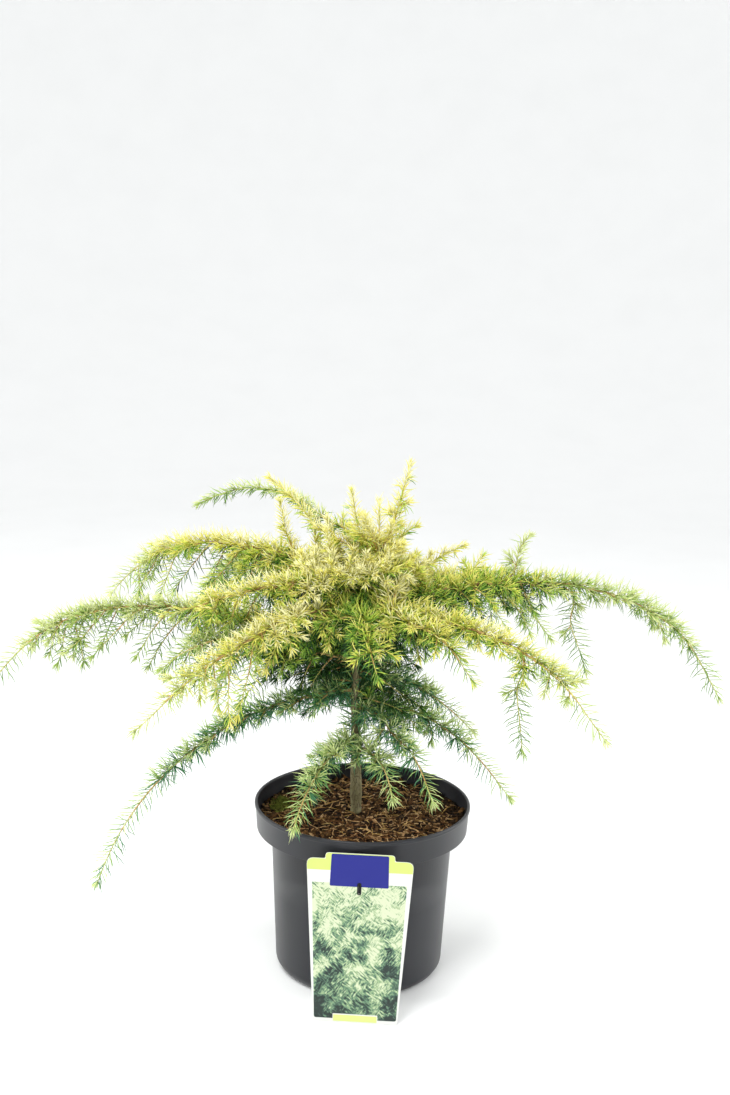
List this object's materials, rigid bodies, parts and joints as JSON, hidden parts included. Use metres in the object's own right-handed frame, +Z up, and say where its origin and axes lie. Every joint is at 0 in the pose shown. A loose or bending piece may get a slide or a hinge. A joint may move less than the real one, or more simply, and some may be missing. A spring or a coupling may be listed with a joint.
{
  "type": "potted cedar tree",
  "caption": "Young spreading golden cedar in a round nursery pot: a short trunk, arching and weeping boughs with sprays of needles, bark mulch and a plain leaning plant label.",
  "frame": {"origin": "centre of the flat underside of the pot", "axes": "+Z up, +X to the right of the front, -Y towards the front, where the label leans"},
  "size_m": [0.756, 0.3975, 0.537],
  "materials": {
    "pot_plastic": "satin moulded polypropylene, charcoal",
    "potting_bark": "damp composted bark and coir fibre",
    "label_card": "printed plastic card",
    "bark": "rough grey-brown conifer bark",
    "needles": "waxy needles, gold at the tips and blue-green inside"
  },
  "bodies": {
    "root": {"pot": "pot_plastic", "soil": "potting_bark", "label": "label_card", "trunk": "bark", "bough_left_far": "bark", "bough_left_high": "bark", "bough_left_middle": "bark", "bough_left_front": "bark", "bough_left_under": "bark", "bough_left_low": "bark", "bough_front_left_low": "bark", "bough_front_right_low": "bark", "bough_right_front_low": "bark", "bough_right_back_low": "bark", "bough_right_low": "bark", "bough_right_far": "bark", "bough_right_middle": "bark", "bough_front_right": "bark", "bough_front_middle": "bark", "bough_back_right": "bark", "bough_back_middle": "bark", "bough_back_left": "bark", "bough_back_low": "bark", "foliage_left_far_inner": "needles", "foliage_left_far_tip": "needles", "foliage_left_high_inner": "needles", "foliage_left_high_tip": "needles", "foliage_left_middle_spray": "needles", "foliage_left_front_inner": "needles", "foliage_left_front_tip": "needles", "foliage_left_under_spray": "needles", "foliage_left_low_inner": "needles", "foliage_left_low_tip": "needles", "foliage_front_left_low_spray": "needles", "foliage_front_right_low_spray": "needles", "foliage_right_front_low_spray": "needles", "foliage_right_back_low_spray": "needles", "foliage_right_low_spray": "needles", "foliage_right_far_inner": "needles", "foliage_right_far_tip": "needles", "foliage_right_middle_inner": "needles", "foliage_right_middle_tip": "needles", "foliage_front_right_spray": "needles", "foliage_front_middle_spray": "needles", "foliage_back_right_spray": "needles", "foliage_back_middle_spray": "needles", "foliage_back_left_inner": "needles", "foliage_back_left_tip": "needles", "foliage_back_low_spray": "needles", "foliage_right_middle_hanger": "needles", "foliage_right_far_hanger": "needles", "foliage_left_far_hanger": "needles", "foliage_leader": "needles", "foliage_second_leader": "needles", "foliage_left_arch": "needles", "foliage_left_back_arch": "needles", "foliage_right_back_tuft": "needles", "foliage_right_far_tuft": "needles", "foliage_upper_middle": "needles", "foliage_lower_middle": "needles"}
  },
  "joints": []
}
